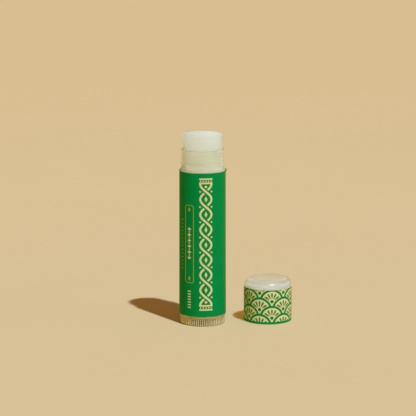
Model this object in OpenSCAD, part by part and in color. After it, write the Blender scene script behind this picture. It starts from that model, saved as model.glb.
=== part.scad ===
// Twist-up lip balm stick, standing on its dial, with its cap taken off and stood beside it.
// Millimetres. The stick's axis is Z and the table is z = 0. The cap stands on its rim along +X.
// Turning the dial turns the screw, and the carrier, which the barrel's ribs keep from turning,
// climbs it and lifts the balm.

/* [Barrel] */
// Outside diameter of the bare barrel at its foot
barrel_d = 15.9; // [14:0.1:20]
// Wall of the barrel at its foot
barrel_wall = 1.15; // [0.9:0.05:1.4]
// How much the mould's draft narrows the barrel's radius from foot to shoulder
barrel_draft = 0.15; // [0:0.01:0.2]
// Wall of the neck, which the cap slides over
neck_wall = 0.5; // [0.4:0.05:0.6]
// Height of the shoulder above the table
shoulder_z = 53.9; // [44:0.1:72]
// Height of the neck above the shoulder
neck_h = 6.8; // [5.6:0.1:9]
// Rounding of the shoulder's outer edge
shoulder_round = 0.35; // [0.1:0.05:0.5]
// Width of one snap ring round the neck
ring_w = 0.55; // [0.3:0.05:0.7]
// How far a snap ring stands out of the neck
ring_proud = 0.06; // [0.05:0.01:0.15]
// Height of the lowest snap ring above the shoulder
ring_lift = 1.4; // [1:0.1:1.8]
// Distance from one snap ring to the next
ring_pitch = 1.2; // [1:0.1:1.5]
// Number of snap rings
ring_count = 3; // [1:1:3]
// Number of guide ribs down the bore
rib_count = 4; // [2:1:6]
// Width of a guide rib
rib_w = 1.0; // [0.6:0.1:1.4]
// How far a guide rib stands out of the bore's wall
rib_proud = 0.45; // [0.3:0.05:0.5]
// How far below the shoulder the guide ribs stop
rib_stop = 3.9; // [2:0.1:8]

/* [Dial and screw] */
// Height of the dial
dial_h = 2.6; // [2:0.1:4]
// How far the dial's side lies inside the barrel's
dial_inset = 0.2; // [0:0.05:0.4]
// Chamfer round the foot of the dial
dial_chamfer = 0.3; // [0.2:0.05:0.5]
// Number of grip grooves round the dial
groove_count = 64; // [40:1:72]
// Depth of a grip groove
groove_depth = 0.24; // [0.1:0.02:0.26]
// Width of a grip groove at the dial's side
groove_w = 0.5; // [0.3:0.02:0.56]
// Smooth rim left above the grooves
groove_rim = 0.2; // [0.15:0.05:0.6]
// Depth of the pocket under the dial
pocket_depth = 1.3; // [0.6:0.1:1.5]
// Number of spokes across the pocket
spoke_count = 6; // [3:1:8]
// Height of the collar that turns in the barrel's foot
collar_h = 2.4; // [2.2:0.1:4]
// How far the collar's snap bead stands out
snap_proud = 0.25; // [0.15:0.05:0.35]
// Height of the boss that the carrier stops on
boss_h = 1.2; // [0.8:0.1:2]
// Diameter of the screw's core
core_d = 3.6; // [3:0.1:4.4]
// How far the thread stands out of the core
thread_depth = 0.8; // [0.5:0.05:1]
// Rise of the carrier in one turn
lead = 6; // [5:0.5:8]
// Width of the thread's crest along the axis
crest_land = 0.5; // [0.3:0.05:0.7]
// Width of one flank of the thread along the axis
flank = 0.42; // [0.3:0.02:0.55]
// Plain tip above the thread
tip_h = 1.4; // [0.8:0.1:2]

/* [Carrier] */
// Height of the carrier's skirt, below its floor
skirt_h = 7; // [5:0.1:9]
// Thickness of the carrier's floor
floor_t = 1; // [0.8:0.1:1.5]
// Depth of the cup that grips the balm, above the floor
cup_depth = 4; // [3:0.1:6]
// Wall of the cup and the skirt
carrier_wall = 0.85; // [0.8:0.05:1.1]
// Wall of the threaded hub
hub_wall = 1.05; // [0.8:0.05:1.4]
// Thickness of the webs between the hub and the skirt
web_t = 0.8; // [0.6:0.1:1.2]

/* [Balm] */
// How far the balm is wound up, as it stands here
wound_up = 5.6; // [0:0.1:20]
// How far the balm's top lies under the neck's rim when it is wound right down
balm_sink = 0.3; // [0:0.1:2]
// Rounding of the balm's top edge
balm_round = 0.4; // [0.2:0.1:1.5]

/* [Cap] */
// Height of the cap
cap_h = 14.9; // [13:0.1:24]
// Wall of the cap
cap_wall = 0.75; // [0.4:0.05:0.9]
// Thickness of the cap's crown
crown_t = 0.9; // [0.7:0.05:1.4]
// Rounding of the crown's outer edge
crown_round = 2; // [1.2:0.1:2.6]
// Distance between the stick's axis and the cap's, as they stand
cap_stand = 22.9; // [21:0.1:60]

/* [Labels] */
// Thickness of the label film
label_t = 0.15; // [0.08:0.01:0.2]
// Bare band of barrel below the body label
label_foot_gap = 0.8; // [0.2:0.05:3]
// Bare band of barrel between the body label and the shoulder
label_head_gap = 0.6; // [0.5:0.05:3]
// Width of the lap where a label's ends meet
label_lap = 3; // [1:0.5:6]
// Height of the label round the cap
cap_label_h = 12.1; // [8:0.1:12.4]
// How far the cap's label stops short of the cap's rim
cap_label_lift = 0.1; // [0.1:0.05:0.8]

/* [Fits] */
// Gap between the dial and the barrel's foot
dial_gap = 0.1; // [0.1:0.05:0.3]
// Radial running gap between the collar and the bore
run_gap = 0.1; // [0.05:0.01:0.1]
// Radial gap between the carrier and the bore
carrier_gap = 0.15; // [0.1:0.01:0.2]
// Gap round a guide rib in its notch
rib_gap = 0.2; // [0.1:0.05:0.25]
// Gap between the screw's thread and the carrier's
thread_gap = 0.15; // [0.12:0.01:0.2]
// Radial gap between the balm and the bore
balm_gap = 0.1; // [0.08:0.01:0.15]
// Gap between the balm and the screw that runs up inside it
screw_gap = 0.2; // [0.15:0.05:0.4]
// Gap that is left between the carrier and its stop when it is wound down
stop_gap = 0.2; // [0.1:0.05:0.5]
// Radial gap between the cap and the neck, when the cap is on
cap_gap = 0.1; // [0.08:0.01:0.2]

/* [Hidden] */
$fn = 96;

// Cuts run this far past what they cut, and joined solids reach this far into each other
over = 0.5;
arc_steps = 8;

barrel_r = barrel_d / 2;
shoulder_r = barrel_r - barrel_draft;
bore_r = barrel_r - barrel_wall;
neck_r = bore_r + neck_wall;
barrel_foot_z = dial_h + dial_gap;
neck_top_z = shoulder_z + neck_h;
edge_break = 0.15;

dial_r = barrel_r - dial_inset;
collar_r = bore_r - run_gap;
collar_top_z = dial_h + collar_h;
boss_top_z = collar_top_z + boss_h;
snap_z = dial_h + 0.6 * collar_h;
snap_w = 0.7;
rib_foot_z = collar_top_z + over;
rib_top_z = shoulder_z - rib_stop;

// The screw has two threads of this lead. Its section turns clockwise as it climbs, a left-hand
// screw, so that turning the dial clockwise, seen from below, lifts the carrier.
starts = 2;
steps_per_turn = 20;
core_r = core_d / 2;
crest_r = core_r + thread_depth;
boss_r = crest_r + 0.3;

carrier_r = bore_r - carrier_gap;
carrier_h = skirt_h + floor_t + cup_depth;
hub_r = crest_r + thread_gap + hub_wall;
carrier_z = boss_top_z + stop_gap + wound_up;
cup_floor_z = carrier_z + skirt_h + floor_t;
carrier_top_z = carrier_z + carrier_h;
cup_r = carrier_r - carrier_wall;
notch_r = bore_r - rib_proud - rib_gap;

balm_r = bore_r - balm_gap;
balm_top_z = neck_top_z - balm_sink + wound_up;
groove_top_z = rib_top_z + wound_up + stop_gap;

// The carrier's top stays this far under the neck's rim when its hub reaches the thread's end
rim_margin = 3.2;
thread_top_z = neck_top_z - rim_margin - cup_depth;
tip_z = thread_top_z + tip_h;
balm_bore_top_z = tip_z + wound_up + over;
travel_up = thread_top_z - cup_floor_z;

cap_bore_r = neck_r + cap_gap;
cap_r = cap_bore_r + cap_wall;
crown_inside_z = cap_h - crown_t;
crown_round_inside = max(crown_round - crown_t, 0.3);
grip_w = 0.6;
grip_z = ring_lift + ring_pitch / 2;
grip_proud = cap_gap + ring_proud / 2;

label_foot_z = barrel_foot_z + label_foot_gap;
label_head_z = shoulder_z - label_head_gap;

echo(carrier_travel_down_mm = wound_up, carrier_travel_up_mm = travel_up);
echo(dial_turn_down_deg = 360 * wound_up / lead, dial_turn_up_deg = 360 * travel_up / lead);
echo(neck_r_mm = neck_r, neck_from_mm = shoulder_z, neck_to_mm = neck_top_z - edge_break);
echo(cap_bore_r_mm = cap_bore_r, cap_inside_mm = crown_inside_z, stick_top_mm = balm_top_z);

// Points along an arc about [x, y], from one angle to another
function arc(x, y, r, from, to) =
    [for (i = [0 : arc_steps])
        let (a = from + (to - from) * i / arc_steps)
        [x + r * cos(a), y + r * sin(a)]];

// A low ridge on a wall at radius r, centred on z. A negative height makes it a groove.
function ridge(r, z, w, proud) =
    [[r, z - w / 2], [r + proud, z - w / 6], [r + proud, z + w / 6], [r, z + w / 2]];

function reversed(points) = [for (i = [len(points) - 1 : -1 : 0]) points[i]];

// The same child once every 360 / count degrees round Z
module around(count) {
    for (i = [0 : count - 1])
        rotate(360 * i / count) children();
}

// One straight bar that runs outwards from radius r_from to r_to
module bar(r_from, r_to, w, z_from, z_to) {
    translate([r_from, -w / 2, z_from])
        cube([r_to - r_from, w, z_to - z_from]);
}

module barrel() {
    snap_groove = ridge(bore_r, snap_z, snap_w + 2 * dial_gap, snap_proud);
    outside = concat(
        [[barrel_r - edge_break, barrel_foot_z], [barrel_r, barrel_foot_z + edge_break]],
        arc(shoulder_r - shoulder_round, shoulder_z - shoulder_round, shoulder_round, 0, 90),
        [[neck_r, shoulder_z]],
        [for (i = [0 : ring_count - 1])
            each ridge(neck_r, shoulder_z + ring_lift + i * ring_pitch, ring_w, ring_proud)],
        [[neck_r, neck_top_z - edge_break], [neck_r - edge_break, neck_top_z]]);
    inside = concat(
        [[bore_r, neck_top_z]],
        reversed(snap_groove),
        [[bore_r, barrel_foot_z]]);
    color("#d9d4bd") {
        rotate_extrude()
            polygon(concat(outside, inside));
        around(rib_count)
            bar(bore_r - rib_proud, bore_r + neck_wall / 2, rib_w, rib_foot_z, rib_top_z);
    }
}

// One thread of the screw, as points round its section. grow widens it for the hub's cut.
function thread_lobe(turn, grow) =
    let (crest_half = 360 * (crest_land / 2 + grow) / lead,
         root_half = crest_half + 360 * flank / lead,
         core_left = 360 / starts - 2 * root_half)
    [for (p = [[-root_half, core_r], [-crest_half, crest_r], [0, crest_r], [crest_half, crest_r],
               [root_half, core_r], [root_half + core_left / 3, core_r],
               [root_half + 2 * core_left / 3, core_r]])
        (p[1] + grow) * [cos(turn + p[0]), sin(turn + p[0])]];

// The screw's thread between two heights. Its turn depends on the height alone, so that the
// screw and the hub cut with it are in step wherever they start.
module thread(z_from, z_to, grow = 0) {
    turns = (z_to - z_from) / lead;
    section = [for (s = [0 : starts - 1]) each thread_lobe(360 * s / starts, grow)];
    translate([0, 0, z_from])
        rotate(-360 * z_from / lead)
            linear_extrude(height = z_to - z_from, twist = 360 * turns,
                           slices = ceil(steps_per_turn * turns), segments = 0)
                polygon(section);
}

// The pocket that is moulded into the dial's underside, between its hub and its rim
module dial_pocket() {
    pocket_hub_r = crest_r + 0.4;
    pocket_rim_r = dial_r - 0.9;
    spoke_w = 0.6;
    hub_recess = 0.2;
    core_hole_r = 0.8;
    difference() {
        translate([0, 0, -over])
            cylinder(r = pocket_rim_r, h = pocket_depth + over);
        translate([0, 0, hub_recess])
            cylinder(r = pocket_hub_r, h = pocket_depth);
        around(spoke_count)
            bar(pocket_hub_r / 2, dial_r - over, spoke_w, hub_recess, pocket_depth + over);
    }
    cylinder(r = core_hole_r, h = collar_top_z - over);
}

module dial_and_screw() {
    // A round cutter of this radius leaves a groove of the width and depth that are set
    cutter_r = (pow(groove_w / 2, 2) + pow(groove_depth, 2)) / (2 * groove_depth);
    lead_in = 0.3;
    profile = concat(
        [[0, 0], [dial_r - dial_chamfer, 0], [dial_r, dial_chamfer],
         [dial_r, dial_h - edge_break], [dial_r - edge_break, dial_h], [collar_r, dial_h]],
        ridge(collar_r, snap_z, snap_w, snap_proud),
        [[collar_r, collar_top_z - lead_in], [collar_r - lead_in, collar_top_z],
         [boss_r, collar_top_z], [boss_r, boss_top_z], [0, boss_top_z]]);
    color("#cfc6a6") {
        difference() {
            rotate_extrude()
                polygon(profile);
            around(groove_count)
                translate([dial_r - groove_depth + cutter_r, 0, -over])
                    cylinder(r = cutter_r, h = dial_h - groove_rim + over, $fn = 16);
            dial_pocket();
        }
        thread(boss_top_z - over, thread_top_z);
        translate([0, 0, thread_top_z - over])
            cylinder(r = core_r - 0.3, h = over + tip_h / 2);
        translate([0, 0, thread_top_z + tip_h / 2])
            cylinder(r1 = core_r - 0.3, r2 = core_r - 0.9, h = tip_h / 2);
    }
}

module carrier_cup() {
    floor_z = carrier_z + skirt_h;
    lead_in = 0.2;
    shell = [
        [carrier_r - lead_in, carrier_z], [carrier_r, carrier_z + lead_in],
        [carrier_r, carrier_top_z], [cup_r, carrier_top_z], [cup_r, cup_floor_z],
        [0, cup_floor_z], [0, floor_z], [cup_r, floor_z], [cup_r, carrier_z]];
    color("#e4e0d0")
        difference() {
            union() {
                rotate_extrude()
                    polygon(shell);
                translate([0, 0, carrier_z])
                    cylinder(r = hub_r, h = skirt_h + floor_t / 2);
                around(rib_count)
                    rotate(180 / rib_count)
                        bar(hub_r - over / 2, cup_r + over / 2, web_t, carrier_z + 1, floor_z + floor_t / 2);
            }
            thread(carrier_z - over, cup_floor_z + over, thread_gap);
            around(rib_count)
                bar(notch_r, carrier_r + over, rib_w + 2 * rib_gap, carrier_z - over, carrier_top_z + over);
        }
}

module balm_stick() {
    screw_bore_r = crest_r + screw_gap;
    profile = concat(
        [[screw_bore_r, cup_floor_z], [cup_r, cup_floor_z], [cup_r, carrier_top_z],
         [balm_r, carrier_top_z]],
        arc(balm_r - balm_round, balm_top_z - balm_round, balm_round, 0, 90),
        [[0, balm_top_z], [0, balm_bore_top_z], [screw_bore_r, balm_bore_top_z - over]]);
    color("#eceadb")
        difference() {
            rotate_extrude()
                polygon(profile);
            around(rib_count)
                bar(notch_r, balm_r + over, rib_w + 2 * rib_gap, carrier_top_z - over, groove_top_z);
        }
}

// A film's edge, between two depths, on a wall that runs from r_foot to r_head over height h. Its
// ends are held back by inset.
module film(r_foot, r_head, h, from, to, inset = 0) {
    slope = (r_head - r_foot) / h;
    z = [inset, h - inset];
    r = [r_foot + slope * z[0], r_foot + slope * z[1]];
    polygon([[r[0] + from, z[0]], [r[0] + to, z[0]], [r[1] + to, z[1]], [r[1] + from, z[1]]]);
}

// A film wrapped once round a wall, with its end lapped over its start at the back
module wrap(r_foot, r_head, h) {
    lap_angle = 360 * label_lap / (2 * PI * r_foot);
    lap_inset = 0.05;
    rotate_extrude()
        film(r_foot, r_head, h, 0, label_t);
    rotate(90 - lap_angle / 2)
        rotate_extrude(angle = lap_angle)
            film(r_foot, r_head, h, label_t / 2, 2 * label_t, lap_inset);
}

// The radius of the drafted barrel at height z
function barrel_r_at(z) =
    barrel_r - barrel_draft * (z - barrel_foot_z - edge_break)
        / (shoulder_z - shoulder_round - barrel_foot_z - edge_break);

module body_label() {
    color("#048b43")
        translate([0, 0, label_foot_z])
            wrap(barrel_r_at(label_foot_z), barrel_r_at(label_head_z), label_head_z - label_foot_z);
}

// The cap as it is moulded, with its rim on z = 0. Its mouth widens from the grip ring to the rim.
module cap_moulding() {
    mouth = 0.12;
    outside = concat(
        [[cap_bore_r + mouth, 0], [cap_r - edge_break / 2, 0], [cap_r, edge_break / 2]],
        arc(cap_r - crown_round, cap_h - crown_round, crown_round, 0, 90),
        [[0, cap_h]]);
    inside = concat(
        [[0, crown_inside_z]],
        reversed(arc(cap_bore_r - crown_round_inside, crown_inside_z - crown_round_inside,
                     crown_round_inside, 0, 90)),
        reversed(ridge(cap_bore_r, grip_z, grip_w, -grip_proud)));
    rotate_extrude()
        polygon(concat(outside, inside));
}

module cap() {
    color("#dcd8c4")
        translate([cap_stand, 0, 0])
            cap_moulding();
}

module cap_label() {
    color("#ead9ac")
        translate([cap_stand, 0, cap_label_lift])
            wrap(cap_r, cap_r, cap_label_h);
}

barrel();
dial_and_screw();
carrier_cup();
balm_stick();
body_label();
cap();
cap_label();
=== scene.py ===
# %% [markdown]
# # A twist-up lip balm stick, with its cap off
#
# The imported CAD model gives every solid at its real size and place: the barrel, the dial and its
# screw, the carrier, the balm, the cap and the two halves of the wrap-round label. This script adds
# what the eye reads next: wax, milky moulded plastic, satin film, and the ink printed on it.
# Blender works in metres here, and the frame is the CAD model's own: the stick's axis is Z, the
# table is z = 0, the cap stands along +X and the viewer is on the -Y side.

# %% Load the frame
import math

import bmesh
import bpy
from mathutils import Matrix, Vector


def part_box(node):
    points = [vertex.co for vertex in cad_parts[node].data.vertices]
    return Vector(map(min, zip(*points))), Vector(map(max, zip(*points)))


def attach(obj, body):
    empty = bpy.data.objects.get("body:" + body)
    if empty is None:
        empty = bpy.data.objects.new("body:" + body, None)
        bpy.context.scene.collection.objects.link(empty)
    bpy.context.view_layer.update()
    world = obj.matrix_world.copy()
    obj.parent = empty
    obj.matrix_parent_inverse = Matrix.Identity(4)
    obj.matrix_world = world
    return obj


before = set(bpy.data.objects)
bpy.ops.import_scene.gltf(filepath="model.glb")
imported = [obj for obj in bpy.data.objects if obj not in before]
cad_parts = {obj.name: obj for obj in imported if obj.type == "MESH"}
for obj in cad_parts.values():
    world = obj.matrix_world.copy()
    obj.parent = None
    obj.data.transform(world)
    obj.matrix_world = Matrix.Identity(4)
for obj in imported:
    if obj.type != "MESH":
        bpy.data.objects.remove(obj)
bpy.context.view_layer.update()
MM = 0.001
print("nodes:", ", ".join(sorted(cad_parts)))

# %% [markdown]
# ## The camera
#
# A camera can be nudged until the view looks right, but circles give it away exactly: the flatness
# of one seen at a slant tells how high the camera stands above it. The label's two edges, the top
# of the balm and the foot of the cap each give such an ellipse, and together they fix the camera's
# height, distance and tilt. A long lens keeps the stick's sides almost parallel, as they are in a
# product photograph. The focal length is worked out from the scale in pixels.

# %% Camera
IMAGE_SIDE_PX = 416
FOCAL_PX = 1870
SENSOR_WIDTH_MM = 36
CAMERA_DISTANCE = 631 * MM
CAMERA_HEIGHT = 158.2 * MM
CAMERA_AZIMUTH = math.radians(-8.5)
CAMERA_PITCH = math.radians(10.607)
STICK_LEFT_OF_CENTRE = 1.87 * MM


def add_camera():
    ahead = Vector((-math.sin(CAMERA_AZIMUTH), math.cos(CAMERA_AZIMUTH), 0))
    right = Vector((ahead.y, -ahead.x, 0))
    data = bpy.data.cameras.new("camera")
    data.sensor_width = SENSOR_WIDTH_MM
    data.lens = FOCAL_PX * SENSOR_WIDTH_MM / IMAGE_SIDE_PX
    camera = bpy.data.objects.new("camera", data)
    camera.location = right * STICK_LEFT_OF_CENTRE - ahead * CAMERA_DISTANCE
    camera.location.z = CAMERA_HEIGHT
    camera.rotation_euler = (math.pi / 2 - CAMERA_PITCH, 0, CAMERA_AZIMUTH)
    bpy.context.scene.collection.objects.link(camera)
    bpy.context.scene.camera = camera
    return camera


camera = add_camera()
print("lens:", round(camera.data.lens, 1), "mm, at", [round(v, 4) for v in camera.location])

# %% [markdown]
# ## A short way to write materials
#
# Each material below is a small tree of nodes round one Principled shader. Placing and linking them
# by hand takes three lines a node, so one helper makes a node, sets its options and fills its
# inputs: a number or a colour is set, and another node's output is linked. Everything else is built
# on that helper, so a material reads like a recipe.

# %% Add and link nodes
def put(tree, socket, value):
    """Link value to the socket if it is another node's output, or else set it."""
    if isinstance(value, bpy.types.NodeSocket):
        tree.links.new(value, socket)
    else:
        socket.default_value = value


def add(tree, kind, inputs, **options):
    """A new node of this kind, with its options and its inputs by name or number."""
    node = tree.nodes.new("ShaderNode" + kind)
    for name, value in options.items():
        setattr(node, name, value)
    for name, value in inputs.items():
        put(tree, node.inputs[name], value)
    return node


print("ready to add and link nodes")

# %% Sums, mixes and ranges
def maths(tree, operation, *values):
    return add(tree, "Math", dict(enumerate(values)), operation=operation).outputs[0]


def mixed(tree, factor, a, b):
    """Colour a where the factor is 0 and colour b where it is 1."""
    node = add(tree, "Mix", {"Factor": factor}, data_type="RGBA")
    colours = [s for s in node.inputs if s.type == "RGBA"]
    put(tree, colours[0], a)
    put(tree, colours[1], b)
    return next(s for s in node.outputs if s.type == "RGBA")


def spread(tree, value, low, high, out_low=0.0, out_high=1.0):
    """value, moved from low to high into the range out_low to out_high, and held there."""
    node = add(tree, "MapRange", {"Value": value, "From Min": low, "From Max": high,
                                  "To Min": out_low, "To Max": out_high})
    return node.outputs["Result"]


def object_place(tree):
    """Where a point is on its piece, in metres. It stays with the piece when that moves."""
    return add(tree, "TexCoord", {}).outputs["Object"]


print("ready to mix colours and measure")

# %% Start a group, place it, start a material
def start_group(name, ins, outs):
    """A shader node group with these named inputs and outputs, and its two end nodes."""
    tree = bpy.data.node_groups.new(name, "ShaderNodeTree")
    for socket, kind, value in ins:
        made = tree.interface.new_socket(socket, in_out="INPUT", socket_type="NodeSocket" + kind)
        made.default_value = value
    for socket, kind in outs:
        tree.interface.new_socket(socket, in_out="OUTPUT", socket_type="NodeSocket" + kind)
    return tree, tree.nodes.new("NodeGroupInput").outputs, tree.nodes.new("NodeGroupOutput").inputs


def use(tree, group, **inputs):
    """Place a node group in a material. Underscores stand for the spaces in its inputs' names."""
    node = tree.nodes.new("ShaderNodeGroup")
    node.node_tree = group
    for name, value in inputs.items():
        put(tree, node.inputs[name.replace("_", " ")], value)
    return node.outputs


def start_material(name, **sockets):
    """A material with a Principled shader, its constants set on the shader's own sockets."""
    material = bpy.data.materials.new(name)
    material.use_nodes = True
    shader = material.node_tree.nodes["Principled BSDF"]
    for socket, value in sockets.items():
        shader.inputs[socket.replace("_", " ")].default_value = value
    return material, material.node_tree, shader


def add_bump(tree, shader, height, relief):
    """relief is how deep the bump is, in metres, where the height runs from 0 to 1."""
    bump = add(tree, "Bump", {"Height": height, "Distance": relief})
    tree.links.new(bump.outputs["Normal"], shader.inputs["Normal"])


print("ready to start groups and materials")

# %% [markdown]
# ## Light
#
# The photograph has one hard, high light from the front right, which throws a short crisp shadow,
# and the glow of a warm paper sweep everywhere else. A soft box would need a size and a distance to
# be guessed. A sun lamp of a small angle gives such a shadow with one number, and a plain warm
# world does the rest. Together they add up to about 1, so a colour on a level surface renders as it
# is written. Shaders work with linear light, so colours written as on a screen are converted first.

# %% Screen colours
def linear(red, green, blue):
    """A colour given as 0 to 255 screen values, as the linear values that shaders work with."""
    def channel(v):
        v /= 255
        return v / 12.92 if v <= 0.04045 else ((v + 0.055) / 1.055) ** 2.4
    return (channel(red), channel(green), channel(blue), 1)


print("the screen's middle grey is", round(linear(128, 128, 128)[0], 3), "to a shader")

# %% Key light
LIGHT_TOWARDS = Vector((0.239, -0.479, 1.0))
KEY_STRENGTH = 2.9
KEY_COLOUR = (0.82, 1.0, 1.14)
KEY_ANGLE = math.radians(1.6)


def add_key_light():
    data = bpy.data.lights.new("key", "SUN")
    data.energy = KEY_STRENGTH
    data.color = KEY_COLOUR
    data.angle = KEY_ANGLE
    lamp = bpy.data.objects.new("key", data)
    lamp.rotation_euler = LIGHT_TOWARDS.to_track_quat("Z", "Y").to_euler()
    bpy.context.scene.collection.objects.link(lamp)


add_key_light()
lamp_height = math.atan2(LIGHT_TOWARDS.z, math.hypot(LIGHT_TOWARDS.x, LIGHT_TOWARDS.y))
print("key light", round(math.degrees(lamp_height), 1), "degrees high")

# %% World
FILL_COLOUR = (0.33, 0.19, 0.075, 1)
SWEEP_COLOUR = linear(218, 191, 147)


def set_world():
    """The camera sees the sweep's colour, and the object is lit by the dimmer fill."""
    world = bpy.data.worlds.new("paper_sweep")
    world.use_nodes = True
    bpy.context.scene.world = world
    tree = world.node_tree
    tree.nodes.clear()
    fill = add(tree, "Background", {"Color": FILL_COLOUR}).outputs[0]
    sweep = add(tree, "Background", {"Color": SWEEP_COLOUR}).outputs[0]
    seen = add(tree, "LightPath", {}).outputs["Is Camera Ray"]
    shown = add(tree, "MixShader", {0: seen, 1: fill, 2: sweep}).outputs[0]
    add(tree, "OutputWorld", {"Surface": shown})


set_world()
bpy.context.scene.view_settings.view_transform = "Standard"
print("world:", bpy.context.scene.world.name)

# %% [markdown]
# ## Effects that several finishes share
#
# Nothing that is made or handled is one even colour. Wax and milky plastic are cloudy, a moulded
# face has a faint grain, film picks up hairline scratches, and an edge is rubbed lighter than the
# face beside it. These could be drawn anew in every material. Each is a node group instead, with
# its size as an input, so that the same effect can be fine on the film and broad on the wax.

# %% Cloudy colour
CLOUD_BEGINS = 0.38
CLOUD_FULL = 0.64


def make_cloudy():
    tree, given, out = start_group(
        "cloudy_colour",
        [("Colour", "Color", (1, 1, 1, 1)), ("Cloud Colour", "Color", (0.8, 0.8, 0.8, 1)),
         ("Cloud Size", "Float", 0.005), ("Amount", "Float", 0.5)],
        [("Colour", "Color")])
    scale = maths(tree, "DIVIDE", 1.0, given["Cloud Size"])
    noise = add(tree, "TexNoise", {"Vector": object_place(tree), "Scale": scale, "Detail": 4.0,
                                   "Roughness": 0.6}).outputs[0]
    cloud = spread(tree, noise, CLOUD_BEGINS, CLOUD_FULL)
    amount = maths(tree, "MULTIPLY", cloud, given["Amount"])
    put(tree, out["Colour"], mixed(tree, amount, given["Colour"], given["Cloud Colour"]))
    return tree


cloudy = make_cloudy()
print("made", cloudy.name)

# %% Grain and drag lines
def make_grain():
    """Stretch above 1 draws the grain out along Z, as a mould or a scraping edge does."""
    tree, given, out = start_group(
        "grain",
        [("Grain Size", "Float", 0.0003), ("Stretch", "Float", 1.0)],
        [("Height", "Float")])
    squeeze = maths(tree, "DIVIDE", 1.0, given["Stretch"])
    factors = add(tree, "CombineXYZ", {"X": 1.0, "Y": 1.0, "Z": squeeze}).outputs[0]
    drawn = add(tree, "VectorMath", {0: object_place(tree), 1: factors},
                operation="MULTIPLY").outputs[0]
    scale = maths(tree, "DIVIDE", 1.0, given["Grain Size"])
    noise = add(tree, "TexNoise", {"Vector": drawn, "Scale": scale, "Detail": 3.0}).outputs[0]
    put(tree, out["Height"], noise)
    return tree


grain = make_grain()
print("made", grain.name)

# %% Hairline scratches
SCRATCH_WARP = 0.6
SCRATCH_BREAKS_OFF = 0.52
SCRATCH_UNBROKEN = 0.6


def make_scratches():
    """Thin lines where a warped noise crosses its middle value, broken up by a second noise."""
    tree, given, out = start_group(
        "scratches",
        [("Spacing", "Float", 0.004), ("Width", "Float", 0.03)],
        [("Mask", "Float")])
    place = object_place(tree)
    scale = maths(tree, "DIVIDE", 1.0, given["Spacing"])
    lines = add(tree, "TexNoise", {"Vector": place, "Scale": scale, "Detail": 1.0,
                                   "Distortion": SCRATCH_WARP}).outputs[0]
    breaks = add(tree, "TexNoise", {"Vector": place, "Scale": scale, "Detail": 2.0}).outputs[0]
    off = maths(tree, "ABSOLUTE", maths(tree, "SUBTRACT", lines, 0.5))
    line = spread(tree, off, 0.0, given["Width"], 1.0, 0.0)
    shown = spread(tree, breaks, SCRATCH_BREAKS_OFF, SCRATCH_UNBROKEN)
    put(tree, out["Mask"], maths(tree, "MULTIPLY", line, shown))
    return tree


scratches = make_scratches()
print("made", scratches.name)

# %% Rubbed edges
LEAST_TURN = 0.02


def make_edges():
    """1 where a surface turns sharply within the radius, found by comparing two normals."""
    tree, given, out = start_group(
        "rubbed_edges",
        [("Radius", "Float", 0.0002), ("Sharpness", "Float", 0.6)],
        [("Mask", "Float")])
    rounded = add(tree, "Bevel", {"Radius": given["Radius"]}, samples=4).outputs[0]
    true = add(tree, "NewGeometry", {}).outputs["Normal"]
    agree = add(tree, "VectorMath", {0: rounded, 1: true}, operation="DOT_PRODUCT").outputs["Value"]
    turn = maths(tree, "SUBTRACT", 1.0, agree)
    put(tree, out["Mask"], spread(tree, turn, LEAST_TURN, given["Sharpness"]))
    return tree


edges = make_edges()
print("made", edges.name)

# %% [markdown]
# ## The floor
#
# The stick stands on the same warm paper that rises behind it. A curved sweep would be the studio's
# way, but a wide plane against a world of the same colour shows no horizon and needs no bend. A
# barely visible paper grain and slow unevenness in its colour keep the plane from looking computed.
# Its colour also shifts a little from near to far, which is a painted gradient of light across the
# paper.
# To the camera it has the paper's colour, and the light it sends back to the object is a little
# greener, as the photograph's shaded sides are.

# %% Paper
# Painted light: the paper's colour near the camera and far away, blended by distance.
FLOOR_NEAR = linear(218, 194, 153)
FLOOR_FAR = linear(219, 191, 146)
FLOOR_NEAR_Y = -150 * MM
FLOOR_FAR_Y = 700 * MM
FLOOR_CLOUD = linear(216, 190, 146)
FLOOR_BOUNCE = (0.50, 0.485, 0.113, 1)
PAPER_RELIEF = 0.04 * MM


def make_paper():
    material, tree, shader = start_material("paper", Roughness=0.9, Specular_IOR_Level=0.1)
    y = add(tree, "SeparateXYZ", {0: object_place(tree)}).outputs["Y"]
    # Painted light gradient: the paper's colour shifts from near to far.
    away = spread(tree, y, FLOOR_NEAR_Y, FLOOR_FAR_Y)
    tone = use(tree, cloudy, Colour=mixed(tree, away, FLOOR_NEAR, FLOOR_FAR),
               Cloud_Colour=FLOOR_CLOUD, Cloud_Size=0.12, Amount=0.4)["Colour"]
    seen = add(tree, "LightPath", {}).outputs["Is Camera Ray"]
    put(tree, shader.inputs["Base Color"], mixed(tree, seen, FLOOR_BOUNCE, tone))
    add_bump(tree, shader, use(tree, grain, Grain_Size=0.0008)["Height"], PAPER_RELIEF)
    return material


paper = make_paper()
print("made", paper.name)

# %% Floor
FLOOR_SIDE = 8.0


def add_floor():
    mesh = bmesh.new()
    bmesh.ops.create_grid(mesh, x_segments=4, y_segments=4, size=FLOOR_SIDE / 2)
    data = bpy.data.meshes.new("floor")
    mesh.to_mesh(data)
    mesh.free()
    data.materials.append(paper)
    floor = bpy.data.objects.new("floor", data)
    bpy.context.scene.collection.objects.link(floor)
    return floor


floor = add_floor()
print("floor", floor.dimensions.x, "m wide")

# %% [markdown]
# ## Milky plastic
#
# The barrel, the dial and the cap are natural polypropylene: milky, so thin that the wax or the
# hollow behind shows through, and soft to light. Light that enters on one side wanders right round
# such a wall and comes out on the shaded side. Real transmission would show that with a lot of
# noise. Here a subsurface radius longer than the wall is round carries the light, and an alpha
# below 1 lets what is behind show. The mould leaves a fine grain, and handling leaves hairline
# scratches that only show in the gloss.

# %% Plastic that light wanders through
RUBBED_PALE = linear(246, 243, 228)
RUBBED_SHARE = 0.35
HAIRLINE_ROUGHNESS = 0.25
HAIRLINE_DEPTH = 0.3
SKIN_RELIEF = 0.012 * MM


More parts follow.
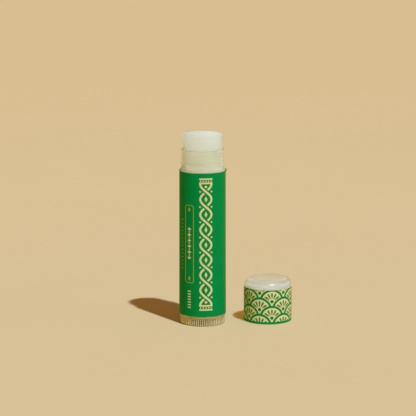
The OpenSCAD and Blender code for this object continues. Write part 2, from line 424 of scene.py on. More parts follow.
def make_plastic(name, colour, cloud_colour, roughness, wander, gloss=0.3):
    """wander is how far light travels inside, in metres."""
    material, tree, shader = start_material(
        name, Subsurface_Weight=1.0, Subsurface_Radius=(1.0, 1.0, 1.0), Subsurface_Scale=wander,
        IOR=1.49, Specular_IOR_Level=gloss)
    shader.subsurface_method = "BURLEY"
    tone = use(tree, cloudy, Colour=colour, Cloud_Colour=cloud_colour, Cloud_Size=0.006,
               Amount=0.6)["Colour"]
    rubbed = use(tree, edges, Radius=0.00012, Sharpness=0.5)["Mask"]
    put(tree, shader.inputs["Base Color"],
        mixed(tree, maths(tree, "MULTIPLY", rubbed, RUBBED_SHARE), tone, RUBBED_PALE))
    hairlines = use(tree, scratches, Spacing=0.003, Width=0.02)["Mask"]
    rougher = maths(tree, "MULTIPLY", hairlines, HAIRLINE_ROUGHNESS)
    put(tree, shader.inputs["Roughness"], maths(tree, "ADD", roughness, rougher))
    skin = use(tree, grain, Grain_Size=0.00018)["Height"]
    cut = maths(tree, "MULTIPLY", hairlines, HAIRLINE_DEPTH)
    add_bump(tree, shader, maths(tree, "SUBTRACT", skin, cut), SKIN_RELIEF)
    return material, tree, shader


print("ready to mould")

# %% [markdown]
# ## What changes over a moulding
#
# One moulding is thick in one place and thin in another, and it looks different there. A mask that
# is 1 in one place and 0 elsewhere can be painted by hand, but it is simpler and exact to measure
# it: the height up the stick, or the distance from its axis. At the outline a thin clear skin lets
# the background through, so the alpha falls there, which also keeps dark outlines away.

# %% Masks, tints and the clear outline
OUTLINE_BEGINS = 0.70
OUTLINE_FULL = 0.97
OUTLINE_ALPHA = 0.15


def height_in(tree):
    return add(tree, "SeparateXYZ", {0: object_place(tree)}).outputs["Z"]


def tint_over(tree, shader, mask, colour):
    """Lay colour over what feeds the shader's base colour, where mask is 1."""
    socket = shader.inputs["Base Color"]
    put(tree, socket, mixed(tree, mask, socket.links[0].from_socket, colour))


def turned_away(tree):
    """0 where a surface faces the eye, rising to 1 along the outline."""
    return add(tree, "LayerWeight", {"Blend": 0.5}).outputs["Facing"]


def clear_at_outline(tree, shader, milk):
    """Set the alpha to milk, and let what is behind show along the outline."""
    clearer = spread(tree, turned_away(tree), OUTLINE_BEGINS, OUTLINE_FULL, 1.0, OUTLINE_ALPHA)
    put(tree, shader.inputs["Alpha"], maths(tree, "MULTIPLY", milk, clearer))


print("the outline's alpha is", OUTLINE_ALPHA)

# %% [markdown]
# ## Dressing the CAD solids
#
# A solid could be modelled again in Blender, but one whose shape is right keeps its mesh and only
# changes its material. Its slots are filled with the new one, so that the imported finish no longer
# shows.

# %% Dress a node
def dress(node, material):
    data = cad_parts[node].data
    data.materials.clear()
    data.materials.append(material)
    for face in data.polygons:
        face.material_index = 0
    print(node, "wears", material.name)


print(len(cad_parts), "nodes to dress")

# %% [markdown]
# ## The barrel
#
# The neck is the thinnest part of the barrel, and the balm shows through it. From the shoulder down
# the wall is thicker and milkier, and the label covers it up to the bare band at the foot. Light
# doesn't wander as far in that band, where the dial's collar fills the bore, and it looks warmer.
# Two masks by height give all of it in one material, with no seam between the parts.

# %% Barrel
LABEL_TO_SHOULDER = 0.6 * MM
SHOULDER_FADE = 2.2 * MM
FOOT_BAND_TOP = 5 * MM
FOOT_FADE = 5 * MM
THIN_MILK = 0.35
THICK_MILK = 0.95
THIN_WANDER = 30 * MM
THICK_WANDER = 3 * MM
BARREL_COLOUR = linear(242, 239, 228)
BARREL_CLOUD = linear(235, 230, 214)
BARREL_ROUGHNESS = 0.34
FOOT_COLOUR = linear(244, 222, 196)


def make_barrel_plastic():
    material, tree, shader = make_plastic(
        "barrel_plastic", BARREL_COLOUR, BARREL_CLOUD, BARREL_ROUGHNESS, THIN_WANDER)
    z = height_in(tree)
    shoulder_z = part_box("body_label")[1].z + LABEL_TO_SHOULDER
    low = spread(tree, z, shoulder_z, shoulder_z + SHOULDER_FADE, 1.0, 0.0)
    clear_at_outline(tree, shader, spread(tree, low, 0.0, 1.0, THIN_MILK, THICK_MILK))
    at_foot = spread(tree, z, FOOT_BAND_TOP, FOOT_BAND_TOP + FOOT_FADE, 1.0, 0.0)
    put(tree, shader.inputs["Subsurface Scale"],
        spread(tree, at_foot, 0.0, 1.0, THIN_WANDER, THICK_WANDER))
    tint_over(tree, shader, at_foot, FOOT_COLOUR)
    return material


dress("barrel", make_barrel_plastic())

# %% [markdown]
# ## The dial
#
# Fingers grip the dial by fine grooves round its wall, which are solid geometry in the CAD model.
# Light is lost in a narrow groove, more than a render with wandering light shows by itself, so the
# material is darker where a point of the wall lies deeper than the ribs' tops. Its distance from
# the axis tells that exactly. The hollow inside shows through the wall where it faces the eye.

# %% Where the grooves are
GROOVE_FLOOR = 0.19 * MM
GROOVE_LIP = 0.13 * MM
WALL_INNER = 0.6 * MM
WALL_OUTER = 0.5 * MM


def mask_grooves(tree):
    """1 in the grooves. The depths are measured in from the tops of the ribs."""
    flat = add(tree, "VectorMath", {0: object_place(tree), 1: (1, 1, 0)},
               operation="MULTIPLY").outputs[0]
    from_axis = add(tree, "VectorMath", {0: flat}, operation="LENGTH").outputs["Value"]
    low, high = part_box("dial_and_screw")
    rib_r = (high.x - low.x) / 2
    deep = spread(tree, from_axis, rib_r - GROOVE_FLOOR, rib_r - GROOVE_LIP, 1.0, 0.0)
    on_wall = spread(tree, from_axis, rib_r - WALL_INNER, rib_r - WALL_OUTER)
    return maths(tree, "MULTIPLY", deep, on_wall)


print("a groove's floor lies", GROOVE_FLOOR / MM, "mm in or more")

# %% Dial
DIAL_COLOUR = linear(252, 236, 208)
DIAL_CLOUD = linear(240, 219, 188)
DIAL_ROUGHNESS = 0.38
DIAL_WANDER = 3 * MM
DIAL_MILK_FACING = 0.4
DIAL_MILK_ASIDE = 0.75
DIAL_ASIDE_FROM = 0.2
GROOVE_SHADE = 0.85
GROOVE_COLOUR = linear(90, 66, 36)


def make_dial_plastic():
    material, tree, shader = make_plastic(
        "dial_plastic", DIAL_COLOUR, DIAL_CLOUD, DIAL_ROUGHNESS, DIAL_WANDER)
    shade = maths(tree, "MULTIPLY", mask_grooves(tree), GROOVE_SHADE)
    tint_over(tree, shader, shade, GROOVE_COLOUR)
    put(tree, shader.inputs["Alpha"], spread(tree, turned_away(tree), 0.0, DIAL_ASIDE_FROM,
                                             DIAL_MILK_FACING, DIAL_MILK_ASIDE))
    return material


dress("dial_and_screw", make_dial_plastic())

# %% [markdown]
# ## The cap
#
# The cap's crown is the glossiest moulding. The pale, cool light that comes through its side is
# painted into its colour there, and its flat top is left warmer and lets more of the hollow show.
# The cap also stands in the lamp's way, and its shadow is an amber glow rather than a black shape,
# because light comes through the plastic and the film.
# Refracting it would take many samples. A transparent shader for shadow rays alone tints the shadow
# at once, and leaves what the camera sees as it was.

# %% Let the lamp's light through
def let_lamp_through(material, tint):
    """The lamp's light takes this tint at each face of the piece, and so does the shadow."""
    tree = material.node_tree
    seen = tree.nodes["Principled BSDF"].outputs[0]
    shadow = add(tree, "LightPath", {}).outputs["Is Shadow Ray"]
    clear = add(tree, "BsdfTransparent", {"Color": tint}).outputs[0]
    either = add(tree, "MixShader", {0: shadow, 1: seen, 2: clear}).outputs[0]
    put(tree, tree.nodes["Material Output"].inputs["Surface"], either)
    print(material.name, "lets through", tint[:3])


print("ready to tint shadows")

# %% Cap
CAP_COLOUR = linear(238, 230, 236)
CAP_CLOUD = linear(230, 220, 222)
CAP_ROUGHNESS = 0.10
CAP_GLOSS = 0.5
CAP_WANDER = 60 * MM
CAP_TINT = (0.85, 0.74, 0.45, 1)
CROWN_SIDE_PAINTED_LIGHT = linear(226, 236, 252)
CROWN_SIDE_DOWN = 1.6 * MM
CROWN_TOP_DOWN = 0.9 * MM
CROWN_TOP_MILK = 0.4
CROWN_SIDE_MILK = 0.7


def make_cap_plastic():
    material, tree, shader = make_plastic(
        "cap_plastic", CAP_COLOUR, CAP_CLOUD, CAP_ROUGHNESS, CAP_WANDER, CAP_GLOSS)
    crown_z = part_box("cap")[1].z
    side = spread(tree, height_in(tree), crown_z - CROWN_SIDE_DOWN, crown_z - CROWN_TOP_DOWN,
                  1.0, 0.0)
    # Painted light: the crown's side is tinted paler and cooler, standing for the light that comes
    # through the plastic there.
    tint_over(tree, shader, side, CROWN_SIDE_PAINTED_LIGHT)
    clear_at_outline(tree, shader, spread(tree, side, 0.0, 1.0, CROWN_TOP_MILK, CROWN_SIDE_MILK))
    let_lamp_through(material, CAP_TINT)
    return material


dress("cap", make_cap_plastic())

# %% [markdown]
# ## The carrier
#
# The cup that holds the balm's foot is the same plastic, thicker and closed in, so it needs neither
# masks nor alpha. Through the milky wall it shows as no more than a paler body.

# %% Carrier
CARRIER_COLOUR = linear(236, 234, 220)
CARRIER_CLOUD = linear(226, 222, 204)
CARRIER_ROUGHNESS = 0.45
CARRIER_WANDER = 1 * MM
carrier_plastic = make_plastic(
    "carrier_plastic", CARRIER_COLOUR, CARRIER_CLOUD, CARRIER_ROUGHNESS, CARRIER_WANDER)[0]
dress("carrier_cup", carrier_plastic)

# %% [markdown]
# ## The balm
#
# Balm is wax and butter: pale, with slow clouds where it set at different speeds. Light wanders
# through the whole stick of it, so its shaded side is almost as pale as the lit one. A plain pale
# colour would look like chalk, so the subsurface radius is several times the stick's own. Sliding
# up the tube scrapes fine upright lines down its side, and the cooled wax has tiny pores.

# %% Balm
BALM_COLOUR = linear(252, 255, 255)
BALM_CLOUD = linear(247, 253, 253)
BALM_WANDER = 40 * MM
BALM_SMOOTH = 0.38
BALM_ROUGH = 0.55
PORE_LOW = 0.3
PORE_HIGH = 0.7
DRAG_SHARE = 0.7
PORE_SHARE = 0.5
BALM_RELIEF = 0.06 * MM


def make_balm():
    material, tree, shader = start_material(
        "balm", Subsurface_Weight=1.0, Subsurface_Radius=(1.0, 1.0, 1.0),
        Subsurface_Scale=BALM_WANDER, IOR=1.44, Specular_IOR_Level=0.3)
    shader.subsurface_method = "BURLEY"
    tone = use(tree, cloudy, Colour=BALM_COLOUR, Cloud_Colour=BALM_CLOUD, Cloud_Size=0.005,
               Amount=0.7)["Colour"]
    put(tree, shader.inputs["Base Color"], tone)
    drag = use(tree, grain, Grain_Size=0.0005, Stretch=30.0)["Height"]
    pores = use(tree, grain, Grain_Size=0.00035)["Height"]
    put(tree, shader.inputs["Roughness"],
        spread(tree, pores, PORE_LOW, PORE_HIGH, BALM_SMOOTH, BALM_ROUGH))
    height = maths(tree, "ADD", maths(tree, "MULTIPLY", drag, DRAG_SHARE),
                   maths(tree, "MULTIPLY", pores, PORE_SHARE))
    add_bump(tree, shader, height, BALM_RELIEF)
    return material


dress("balm_stick", make_balm())

# %% [markdown]
# ## The film labels
#
# Both halves of the label are one printed film with a satin laminate over the ink. The laminate is
# what shines, so film and ink share one finish and differ in colour alone. It mirrors little, but
# its fine skin scatters light along the outline, which is what a sheen does, and the sheen's orange
# tint paints the warm surroundings' reflection into that outline. The colour isn't quite even, and
# the film's cut edges show lighter, because the film under the ink is pale. The cap's cream half is
# thin enough to pass the lamp's light on.

# %% Film and ink
FILM_MIRRORS = 0.04
# Painted reflection: an orange sheen tint that puts the warm surroundings along the film's outline.
PAINTED_WARM_SHEEN = (1.0, 0.42, 0.06, 1)
FILM_ROUGHNESS = 0.55
FILM_SCRATCHED = 0.7
EDGE_SHARE = 0.6
FILM_RELIEF = 0.01 * MM


def make_film(name, colour, cloud_colour, edge_colour=None):
    """edge_colour shows where the film was cut. Ink has no cut edge."""
    material, tree, shader = start_material(
        name, IOR=1.5, Specular_IOR_Level=FILM_MIRRORS, Sheen_Weight=0.5, Sheen_Roughness=0.26,
        Sheen_Tint=PAINTED_WARM_SHEEN)
    shown = use(tree, cloudy, Colour=colour, Cloud_Colour=cloud_colour, Cloud_Size=0.004,
                Amount=0.5)["Colour"]
    if edge_colour:
        cut = use(tree, edges, Radius=0.00008, Sharpness=0.4)["Mask"]
        shown = mixed(tree, maths(tree, "MULTIPLY", cut, EDGE_SHARE), shown, edge_colour)
    put(tree, shader.inputs["Base Color"], shown)
    hairlines = use(tree, scratches, Spacing=0.005, Width=0.015)["Mask"]
    put(tree, shader.inputs["Roughness"],
        spread(tree, hairlines, 0.0, 1.0, FILM_ROUGHNESS, FILM_SCRATCHED))
    add_bump(tree, shader, use(tree, grain, Grain_Size=0.00025)["Height"], FILM_RELIEF)
    return material


print("the film's specular level is", FILM_MIRRORS, "where plain plastic has 0.5")

# %% Green, cream and gold
GREEN = linear(0, 152, 80)
GREEN_CLOUD = linear(0, 144, 74)
GREEN_EDGE = linear(150, 190, 140)
CREAM = linear(250, 228, 186)
CREAM_CLOUD = linear(245, 220, 176)
CREAM_EDGE = linear(252, 240, 214)
GOLD = linear(190, 190, 96)
GOLD_CLOUD = linear(176, 178, 86)
FILM_TINT = (0.78, 0.73, 0.74, 1)

green_film = make_film("green_film", GREEN, GREEN_CLOUD, GREEN_EDGE)
cream_film = make_film("cream_film", CREAM, CREAM_CLOUD, CREAM_EDGE)
cream_ink = make_film("cream_ink", CREAM, CREAM_CLOUD)
green_ink = make_film("green_ink", GREEN, GREEN_CLOUD)
gold_ink = make_film("gold_ink", GOLD, GOLD_CLOUD)
let_lamp_through(cream_film, FILM_TINT)
dress("body_label", green_film)
dress("cap_label", cream_film)

# %% [markdown]
# ## Printing on a curved label
#
# The ink is crisp, finer than any texture that a model of this size should carry, so it is real
# geometry: flat shapes are drawn on the label as if it lay unrolled on a table, u to the right from
# the middle of the front and z up. Then they are cut into narrow upright strips, given the
# thickness of a few layers of ink, and rolled round the label's wall, which is measured on the CAD
# solid itself. A shrinkwrap modifier could press them on too, but a flat shape that is pushed
# straight onto a cylinder stretches towards its sides. The roll keeps every line at the right place
# and width, seen from any side.

# %% The wall that is printed on
SAME_HEIGHT = 0.02 * MM


def measure_wall(node):
    """The axis, foot, head and outer radii of a label, read from its front, away from the lap."""
    low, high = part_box(node)
    axis_x = (low.x + high.x) / 2
    front = [v.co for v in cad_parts[node].data.vertices if v.co.y < 0]

    def radius_at(z):
        return max(math.hypot(p.x - axis_x, p.y) for p in front if abs(p.z - z) < SAME_HEIGHT)

    return {"axis_x": axis_x, "foot_z": low.z, "head_z": high.z,
            "foot_r": radius_at(low.z), "head_r": radius_at(high.z)}


body_wall = measure_wall("body_label")
cap_wall = measure_wall("cap_label")
for name, wall in (("body", body_wall), ("cap", cap_wall)):
    print(name, "label radii in mm:", [round(wall[k] / MM, 3) for k in ("foot_r", "head_r")])

# %% Cut a flat drawing and roll it
STRIP_WIDTH = 0.5 * MM


def cut_outside(mesh, where, outwards):
    """Trim the drawing at the line through where, on the side that outwards points to."""
    bmesh.ops.bisect_plane(mesh, geom=mesh.verts[:] + mesh.edges[:] + mesh.faces[:],
                           plane_co=where, plane_no=outwards, clear_outer=True)


def cut_into_strips(mesh):
    reach = max(abs(v.co.x) for v in mesh.verts)
    count = math.ceil(reach / STRIP_WIDTH)
    for i in range(-count, count + 1):
        bmesh.ops.bisect_plane(mesh, geom=mesh.verts[:] + mesh.edges[:] + mesh.faces[:],
                               plane_co=(i * STRIP_WIDTH, 0, 0), plane_no=(1, 0, 0))


def roll(mesh, wall):
    """Bend the drawing round the wall. A point's third coordinate is its height off the wall."""
    middle_r = (wall["foot_r"] + wall["head_r"]) / 2
    for vertex in mesh.verts:
        u, z, lift = vertex.co
        share = (z - wall["foot_z"]) / (wall["head_z"] - wall["foot_z"])
        r = wall["foot_r"] + share * (wall["head_r"] - wall["foot_r"]) + lift
        angle = u / middle_r
        vertex.co = (wall["axis_x"] + r * math.sin(angle), -r * math.cos(angle), z)


print("strips are", STRIP_WIDTH / MM, "mm wide")

# %% Print a drawing on a label
INK_LIFT = 0.012 * MM
INK_DEPTH = 0.04 * MM


def add_piece(name, mesh, material, body):
    data = bpy.data.meshes.new(name)
    mesh.to_mesh(data)
    mesh.free()
    data.materials.append(material)
    piece = bpy.data.objects.new(name, data)
    bpy.context.scene.collection.objects.link(piece)
    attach(piece, body)
    print(name, len(data.polygons), "faces")
    return piece


def print_on(name, draw, wall, material, body):
    """draw(mesh) lays flat faces in u and z. They come back as one thin piece on the wall."""
    mesh = bmesh.new()
    draw(mesh)
    cut_into_strips(mesh)
    for vertex in mesh.verts:
        vertex.co.z = INK_LIFT
    mesh.normal_update()
    for face in mesh.faces:
        if face.normal.z < 0:
            face.normal_flip()
    bmesh.ops.solidify(mesh, geom=mesh.faces[:], thickness=INK_DEPTH)
    roll(mesh, wall)
    return add_piece(name, mesh, material, body)


print("ink is", INK_DEPTH / MM, "mm thick")

# %% Flat shapes
def lay_face(mesh, points):
    return mesh.faces.new([mesh.verts.new((u, z, 0)) for u, z in points])


def lay_bar(mesh, u_from, u_to, z_from, z_to):
    lay_face(mesh, [(u_from, z_from), (u_to, z_from), (u_to, z_to), (u_from, z_to)])


def lay_lozenge(mesh, u, z, half_u, half_z):
    lay_face(mesh, [(u - half_u, z), (u, z - half_z), (u + half_u, z), (u, z + half_z)])


def lay_dot(mesh, u, z, radius, sides=14):
    turns = [2 * math.pi * i / sides for i in range(sides)]
    lay_face(mesh, [(u + radius * math.cos(t), z + radius * math.sin(t)) for t in turns])


def lay_ribbon(mesh, left, right):
    """A ribbon of quads between two lists of points, which share their corners."""
    left_verts = [mesh.verts.new((u, z, 0)) for u, z in left]
    right_verts = [mesh.verts.new((u, z, 0)) for u, z in right]
    for i in range(len(left) - 1):
        mesh.faces.new((left_verts[i], right_verts[i], right_verts[i + 1], left_verts[i + 1]))


print("shapes: face, bar, lozenge, dot, ribbon")

# %% [markdown]
# ## The braid down the front
#
# A column of cream ornament runs down the front of the green label. A braid of two strands is one
# of the oldest border patterns: two waves that cross, each going over and under by turns. The
# strands could be drawn whole and cut with a boolean where they cross. It's simpler to leave the
# under strand out just there, which makes the gap that the eye reads as weaving. Lozenges fill the
# eyes, dots stand beside the crossings, and bars with a row of dots close the ends.

# %% One strand of the braid
BRAID_FOOT = 7.7 * MM
BRAID_HEAD = 49.7 * MM
BRAID_CROSSINGS = 8
BRAID_SWING = 1.95 * MM
BRAID_PITCH = (BRAID_HEAD - BRAID_FOOT) / BRAID_CROSSINGS
STRAND_HALF_WIDTH = 0.34 * MM
STRAND_STEPS = 14


def strand_point(side, z, offset):
    """A point beside the strand's middle line. side is 1 or -1, for the two mirrored strands."""
    phase = math.pi * (z - BRAID_FOOT) / BRAID_PITCH
    u = side * BRAID_SWING * math.cos(phase)
    slope = -side * BRAID_SWING * math.pi / BRAID_PITCH * math.sin(phase)
    length = math.hypot(slope, 1)
    return (u + offset / length, z - offset * slope / length)


def lay_strand(mesh, side, z_from, z_to):
    steps = max(2, round(STRAND_STEPS * (z_to - z_from) / BRAID_PITCH))
    heights = [z_from + (z_to - z_from) * i / steps for i in range(steps + 1)]
    lay_ribbon(mesh, [strand_point(side, z, -STRAND_HALF_WIDTH) for z in heights],
               [strand_point(side, z, STRAND_HALF_WIDTH) for z in heights])


print("braid pitch", round(BRAID_PITCH / MM, 2), "mm")

# %% The two strands and what fills their eyes
CROSSING_GAP = 0.55 * MM
EYE_HALF_WIDTH = 0.5 * MM
EYE_HALF_HEIGHT = 1.0 * MM
LOOP_DOT_IN = 0.95 * MM
LOOP_DOT_R = 0.42 * MM
BESIDE_DOT_U = 2.0 * MM
BESIDE_DOT_R = 0.3 * MM


def crossing_z(i):
    return BRAID_FOOT + BRAID_PITCH * (i + 0.5)


def lay_strands(mesh):
    for side, first_under in ((1, 1), (-1, 0)):
        breaks = [crossing_z(i) for i in range(first_under, BRAID_CROSSINGS, 2)]
        starts = [BRAID_FOOT] + [z + CROSSING_GAP for z in breaks]
        ends = [z - CROSSING_GAP for z in breaks] + [BRAID_HEAD]
        for z_from, z_to in zip(starts, ends):
            lay_strand(mesh, side, z_from, z_to)


def fill_eyes(mesh):
    for i in range(1, BRAID_CROSSINGS):
        z = BRAID_FOOT + BRAID_PITCH * i
        lay_lozenge(mesh, 0, z, EYE_HALF_WIDTH, EYE_HALF_HEIGHT)
    for z in (BRAID_FOOT + LOOP_DOT_IN, BRAID_HEAD - LOOP_DOT_IN):
        lay_dot(mesh, 0, z, LOOP_DOT_R)
    for i in range(BRAID_CROSSINGS):
        for u in (-BESIDE_DOT_U, BESIDE_DOT_U):
            lay_dot(mesh, u, crossing_z(i), BESIDE_DOT_R)


print(BRAID_CROSSINGS, "crossings,", BRAID_CROSSINGS - 1, "eyes")

# %% The braid's ends, and the whole braid
END_BARS = ((0.0, 0.55 * MM), (1.45 * MM, 0.5 * MM))
END_DOTS_OUT = 1.0 * MM
END_DOT_R = 0.24 * MM
END_HALF_WIDTH = BRAID_SWING + STRAND_HALF_WIDTH
END_DOT_STEP = END_HALF_WIDTH / 2.5


def lay_braid_end(mesh, z, outwards):
    """Bars and a row of dots that close the braid at z. outwards is 1 for up and -1 for down."""
    for start, thick in END_BARS:
        low, high = sorted((z + outwards * start, z + outwards * (start + thick)))
        lay_bar(mesh, -END_HALF_WIDTH, END_HALF_WIDTH, low, high)
    for i in range(-2, 3):
        lay_dot(mesh, i * END_DOT_STEP, z + outwards * END_DOTS_OUT, END_DOT_R)


def draw_braid(mesh):
    lay_strands(mesh)
    fill_eyes(mesh)
    lay_braid_end(mesh, BRAID_HEAD, 1)
    lay_braid_end(mesh, BRAID_FOOT, -1)


print_on("body_braid", draw_braid, body_wall, cream_ink, "tube")

# %% [markdown]
# ## The narrow frame beside it
#
# To the left of the braid stands a tall frame, one thin gold line with rounded corners, and in it
# a column of small marks. A curve with a bevel would give a round wire. Flat ink is better drawn as
# a ribbon between two rounded outlines, one just inside the other.

# %% Frame
FRAME_LEFT = -7.75 * MM
FRAME_RIGHT = -4.25 * MM
FRAME_MIDDLE = (FRAME_LEFT + FRAME_RIGHT) / 2
FRAME_FOOT = 15.2 * MM
FRAME_HEAD = 42.3 * MM
FRAME_LINE = 0.2 * MM
FRAME_CORNER = 0.9 * MM
CORNER_STEPS = 6
FRAME_GEM_IN = 1.6 * MM
FRAME_GEM = (0.45 * MM, 0.8 * MM)


def rounded_outline(inset):
    """Points round the frame, counterclockwise, held in by inset. The last one meets the first."""
    radius = FRAME_CORNER - inset
    left, right = FRAME_LEFT + FRAME_CORNER, FRAME_RIGHT - FRAME_CORNER
    foot, head = FRAME_FOOT + FRAME_CORNER, FRAME_HEAD - FRAME_CORNER
    points = []
    for u, z, start in ((right, foot, -90), (right, head, 0), (left, head, 90), (left, foot, 180)):
        for i in range(CORNER_STEPS + 1):
            turn = math.radians(start + 90 * i / CORNER_STEPS)
            points.append((u + radius * math.cos(turn), z + radius * math.sin(turn)))
    return points + points[:1]


def draw_frame(mesh):
    lay_ribbon(mesh, rounded_outline(FRAME_LINE), rounded_outline(0))
    for z in (FRAME_FOOT + FRAME_GEM_IN, FRAME_HEAD - FRAME_GEM_IN):
        lay_lozenge(mesh, FRAME_MIDDLE, z, *FRAME_GEM)


print_on("body_frame", draw_frame, body_wall, gold_ink, "tube")

# %% Small marks
MARK_FOOT = 24.0 * MM
MARK_STEP = 2.0 * MM
MARKS = 6
MARK_GEM = (0.75 * MM, 0.55 * MM)
MARK_DOT_R = 0.26 * MM
RUNG_FOOT = 6.4 * MM
RUNG_STEP = 0.95 * MM
RUNG_THICK = 0.4 * MM
RUNG_HALF_WIDTH = 0.6 * MM
RUNGS = 7


def draw_marks(mesh):
    """Lozenges in the frame with dots between them, and a ladder of short bars under it."""
    for i in range(MARKS):
        lay_lozenge(mesh, FRAME_MIDDLE, MARK_FOOT + MARK_STEP * i, *MARK_GEM)
    for i in range(MARKS - 1):
        lay_dot(mesh, FRAME_MIDDLE, MARK_FOOT + MARK_STEP * (i + 0.5), MARK_DOT_R)
    for i in range(RUNGS):
        z = RUNG_FOOT + RUNG_STEP * i
        lay_bar(mesh, FRAME_MIDDLE - RUNG_HALF_WIDTH, FRAME_MIDDLE + RUNG_HALF_WIDTH,
                z, z + RUNG_THICK)


print_on("body_marks", draw_marks, body_wall, cream_ink, "tube")

# %% A line of dots beyond the frame
SIDE_DOTS = 14
SIDE_DOT_OUT = 1.5 * MM
SIDE_DOT_FOOT = 20.0 * MM
SIDE_DOT_STEP = 1.3 * MM
SIDE_DOT_R = 0.22 * MM


def draw_side_dots(mesh):
    for i in range(SIDE_DOTS):
        lay_dot(mesh, FRAME_LEFT - SIDE_DOT_OUT, SIDE_DOT_FOOT + SIDE_DOT_STEP * i, SIDE_DOT_R,
                sides=10)


print_on("body_side_dots", draw_side_dots, body_wall, gold_ink, "tube")

# %% [markdown]
# ## A corner that has come away
#
# The label was torn along its perforation when the stick was opened. At the right of its top edge a
# tab of film stands up past the edge and away from the barrel. Cloth simulation would be a long way
# round for one small flap. It's drawn as a grid on the unrolled label, like the print, and the grid
# lifts off the wall more with every bit of height before the roll bends it round.

# %% The torn outline of the tab
TAB_LEFT = 9.3 * MM
TAB_RIGHT = 14.2 * MM
TAB_RISE = 0.28 * MM
TAB_LEAST_RISE = 0.02 * MM
TAB_SHOULDER = 0.6
TAB_NICK = 0.14
TAB_NICKS = 9


def tab_rise(share):
    """How high the torn edge stands at this share of the tab's width, from 0 to 1."""
    hump = math.sin(math.pi * share) ** TAB_SHOULDER
    torn = 1 - TAB_NICK + TAB_NICK * math.cos(TAB_NICKS * share)
    return max(TAB_RISE * hump * torn, TAB_LEAST_RISE)


print("the tab rises", round(tab_rise(0.5) / MM, 2), "mm in the middle")

# %% Lifted tab
TAB_ROOT = 1.2 * MM
TAB_LIFT = 0.02 * MM
TAB_FLARE = 0.38 * MM
TAB_FILM = 0.06 * MM
TAB_COLUMNS = 24
TAB_ROWS = 6


def tab_column(mesh, share, wall):
    """One upright row of the grid, from under the torn edge to the top of the tab."""
    u = TAB_LEFT + share * (TAB_RIGHT - TAB_LEFT)
    foot = wall["head_z"] - TAB_ROOT
    head = wall["head_z"] + tab_rise(share)
    flare = TAB_FLARE * math.sin(math.pi * share) ** 0.5
    ups = [j / TAB_ROWS for j in range(TAB_ROWS + 1)]
    return [mesh.verts.new((u, foot + up * (head - foot), TAB_LIFT + flare * up ** 2))
            for up in ups]


def make_tab(wall, material):
    mesh = bmesh.new()
    grid = [tab_column(mesh, i / TAB_COLUMNS, wall) for i in range(TAB_COLUMNS + 1)]
    for a, b in zip(grid, grid[1:]):
        for j in range(TAB_ROWS):
            mesh.faces.new((a[j], b[j], b[j + 1], a[j + 1]))
    mesh.normal_update()
    bmesh.ops.solidify(mesh, geom=mesh.faces[:], thickness=TAB_FILM)
    roll(mesh, wall)
    add_piece("label_tab", mesh, material, "tube")


make_tab(body_wall, green_film)

# %% [markdown]
# ## Fans round the cap
#
# The cap's half of the label is cream with a dense green print. A scale pattern of open fans is a
# traditional way to fill such a band: rows of overlapping discs, each row shifted by half a disc,
# with only the part of a disc that no lower disc covers left in view. An array of whole discs would
# have to be cut where they overlap. Here each fan's band is drawn only as far as it shows, and its
# petals and core lie in the part that is always open.

# %% Where a fan is covered
FANS_ROUND = 6
FAN_R = math.pi * (cap_wall["foot_r"] + cap_wall["head_r"]) / 2 / FANS_ROUND
FAN_ROW_STEP = FAN_R * 2 / 3
COVERS = ((-FAN_R, -FAN_ROW_STEP), (FAN_R, -FAN_ROW_STEP), (0, -2 * FAN_ROW_STEP))
TOP_OF_FAN = 90
FARTHEST_END = 178
SEARCH_STEP = 0.25


def is_covered(u, z):
    """Whether a point, measured from the fan's own middle, lies under one of the lower fans."""
    return any(math.hypot(u - cu, z - cz) < FAN_R for cu, cz in COVERS)


def on_fan(distance, degrees):
    turn = math.radians(degrees)
    return distance * math.cos(turn), distance * math.sin(turn)


def band_end(distance, side):
    """The angle at which an arc at this distance from the middle runs under a lower fan."""
    step = SEARCH_STEP * side
    degrees = float(TOP_OF_FAN)
    while (abs(degrees - TOP_OF_FAN) < FARTHEST_END
           and not is_covered(*on_fan(distance, degrees + step))):
        degrees += step
    return degrees


print("fan radius", round(FAN_R / MM, 2), "mm")

# %% The band of a fan
FAN_BAND = 0.80 * MM
ARC_STEPS = 18


def lay_arc_band(mesh, u, z):
    """The fan's outer band, each of its two edges trimmed by the lower fans on its own."""
    sides = []
    for distance in (FAN_R - FAN_BAND, FAN_R):
        first, last = band_end(distance, 1), band_end(distance, -1)
        turns = [first + (last - first) * i / ARC_STEPS for i in range(ARC_STEPS + 1)]
        spots = [on_fan(distance, t) for t in turns]
        sides.append([(u + a, z + b) for a, b in spots])
    lay_ribbon(mesh, *sides)


print("fan band", FAN_BAND / MM, "mm wide")

# %% Petals, and a whole fan
FAN_CORE_R = 0.62 * MM
PETAL_ANGLES = (34, 62, 90, 118, 146)
PETAL_FROM = 1.05 * MM
PETAL_TO = 3.05 * MM
PETAL_OUTLINE = ((0.0, 0.10), (0.35, 0.24), (0.68, 0.33), (0.88, 0.26), (1.0, 0.08))


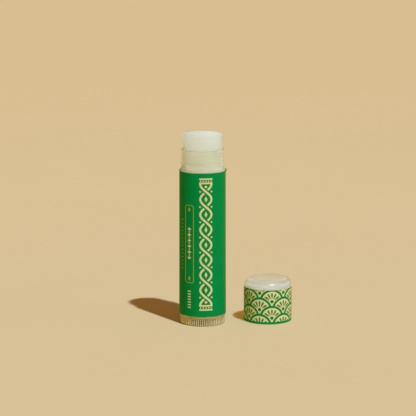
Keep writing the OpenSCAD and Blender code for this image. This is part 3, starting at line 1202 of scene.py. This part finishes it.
def lay_petal(mesh, u, z, degrees):
    """A petal pointing out from the fan's middle. The outline gives its half width in mm."""
    along, across = on_fan(1, degrees), on_fan(1, degrees + 90)
    sides = []
    for side in (1, -1):
        spots = []
        for share, half in PETAL_OUTLINE:
            distance = PETAL_FROM + share * (PETAL_TO - PETAL_FROM)
            offset = side * half * MM
            spots.append((u + along[0] * distance + across[0] * offset,
                          z + along[1] * distance + across[1] * offset))
        sides.append(spots)
    lay_ribbon(mesh, *sides)


def lay_fan(mesh, u, z):
    lay_arc_band(mesh, u, z)
    lay_dot(mesh, u, z, FAN_CORE_R)
    for degrees in PETAL_ANGLES:
        lay_petal(mesh, u, z, degrees)


print(len(PETAL_ANGLES), "petals in a fan")

# %% The print on the cap's label
FOOT_LINE = 0.8 * MM
FOOT_MARGIN = 0.02 * MM
HEAD_MARGIN = 0.1 * MM
SEAM_MARGIN = 1.75 * MM
PRINT_REACH = FAN_R * FANS_ROUND - SEAM_MARGIN


def draw_fans(mesh):
    foot = cap_wall["foot_z"] + FOOT_LINE
    head = cap_wall["head_z"] - HEAD_MARGIN
    rows = math.ceil((cap_wall["head_z"] - foot + FAN_R) / FAN_ROW_STEP) + 2
    for row in range(rows):
        z = foot - FAN_R + row * FAN_ROW_STEP
        shift = FAN_R if row % 2 else 0
        for i in range(-FANS_ROUND // 2 - 1, FANS_ROUND // 2 + 2):
            lay_fan(mesh, 2 * FAN_R * i + shift, z)
    cut_outside(mesh, (0, foot, 0), (0, -1, 0))
    cut_outside(mesh, (0, head, 0), (0, 1, 0))
    cut_outside(mesh, (PRINT_REACH, 0, 0), (1, 0, 0))
    cut_outside(mesh, (-PRINT_REACH, 0, 0), (-1, 0, 0))


def draw_foot_line(mesh):
    foot = cap_wall["foot_z"]
    lay_bar(mesh, -PRINT_REACH, PRINT_REACH, foot + FOOT_MARGIN, foot + FOOT_LINE)


fans = print_on("cap_fans", draw_fans, cap_wall, green_ink, "cap")
foot_line = print_on("cap_foot_line", draw_foot_line, cap_wall, green_ink, "cap")

# %% [markdown]
# ## An even shadow under the cap
#
# Ink lies on film that lets the lamp's light through, and the ink itself would throw a pattern of
# small dark fans on the table. In the photograph that shadow is even, so the ink casts none. The
# lamp's tint at the plastic and at the film stands for the ink's share too.

# %% The ink casts no shadow
for ink in (fans, foot_line):
    ink.visible_shadow = False
    print(ink.name, "casts no shadow")
